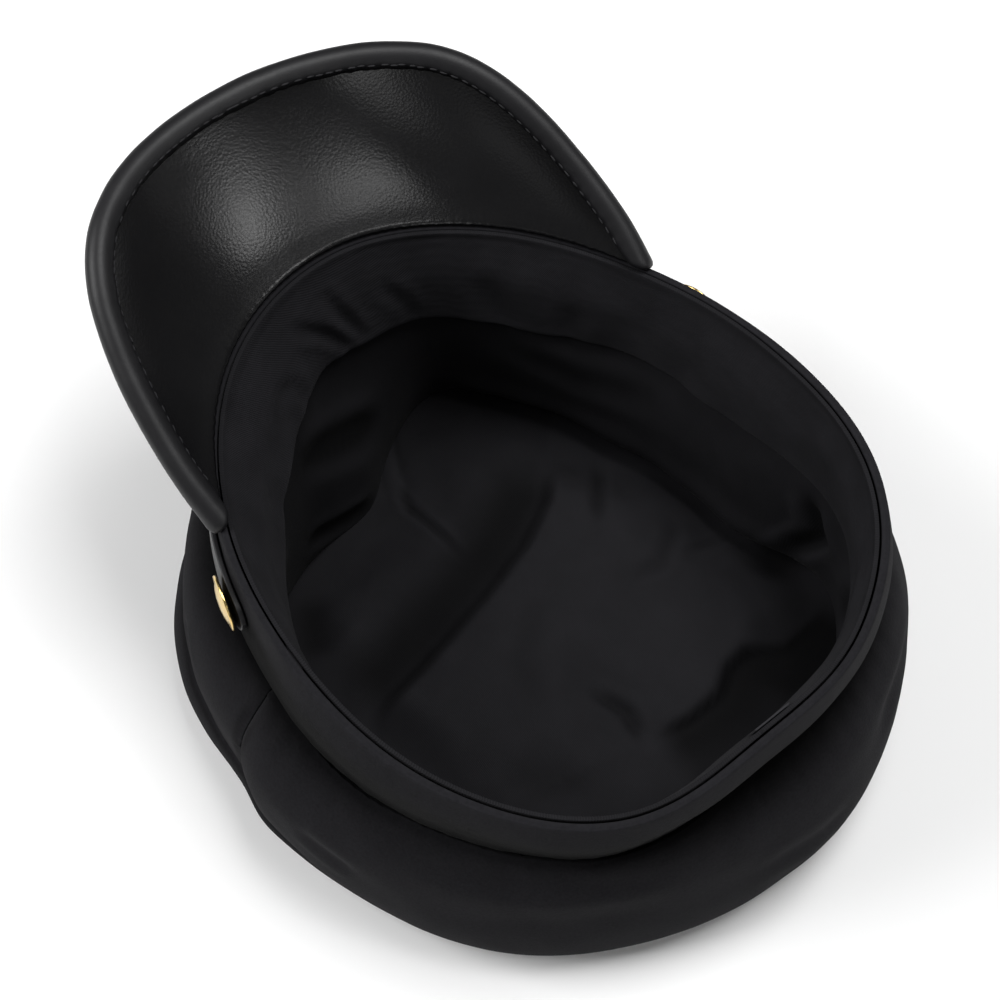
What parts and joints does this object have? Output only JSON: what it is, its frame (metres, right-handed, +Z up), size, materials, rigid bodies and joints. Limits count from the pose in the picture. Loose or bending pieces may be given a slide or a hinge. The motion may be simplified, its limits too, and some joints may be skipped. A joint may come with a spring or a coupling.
{
  "type": "captain hat",
  "caption": "Soft black captain hat with a leather visor and strap, lying upside down on the flat of its crown, open to the head.",
  "frame": {"origin": "on the floor, under the middle of the whole hat's box, as the hat lies upside down on its crown", "axes": "+Z up out of the head opening, -Y towards the visor's front edge, +X to the wearer's right"},
  "size_m": [0.22, 0.257, 0.1424],
  "materials": {
    "cloth": "matt black woven wool cloth",
    "twill": "matt black cotton twill",
    "lining": "thin black cotton lining, faint sheen",
    "leather": "smooth black leather, semi-gloss",
    "brass": "polished brass"
  },
  "bodies": {
    "root": {"crown_top": "cloth", "crown_front_panel": "cloth", "crown_back_panel": "cloth", "band": "cloth", "sweatband": "twill", "lining_side": "lining", "lining_top": "lining", "size_tab": "lining", "visor": "leather", "visor_binding": "leather", "strap": "leather", "button_right": "brass", "button_left": "brass"}
  },
  "joints": []
}
